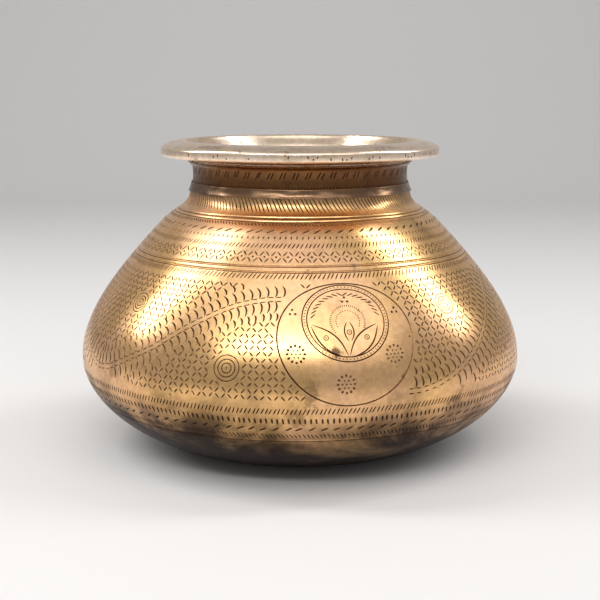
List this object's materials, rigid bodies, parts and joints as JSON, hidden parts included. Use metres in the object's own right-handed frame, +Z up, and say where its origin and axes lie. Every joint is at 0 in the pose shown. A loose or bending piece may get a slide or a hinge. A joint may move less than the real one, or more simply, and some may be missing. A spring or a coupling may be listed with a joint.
{
  "type": "kalash",
  "caption": "Squat round metal water pot with engraved belly and shoulder, short neck and flared lip, brazed up from raised shells.",
  "frame": {"origin": "centre of the flat base, on the surface the pot stands on", "axes": "+Z up along the pot's axis, the side with the large medallion towards -Y"},
  "size_m": [0.2, 0.2, 0.1383],
  "materials": {
    "aged_brass": "hand engraved, worn and tarnished",
    "neck_brass": "dark coppery patina",
    "lip_brass": "rubbed bright on its edges",
    "braze_metal": "hammered brazing metal"
  },
  "bodies": {
    "root": {"bowl_shell": "aged_brass", "shoulder_shell": "aged_brass", "neck_collar": "neck_brass", "rim_lip": "lip_brass", "belly_braze": "braze_metal", "neck_braze": "braze_metal", "rim_braze": "braze_metal"}
  },
  "joints": []
}
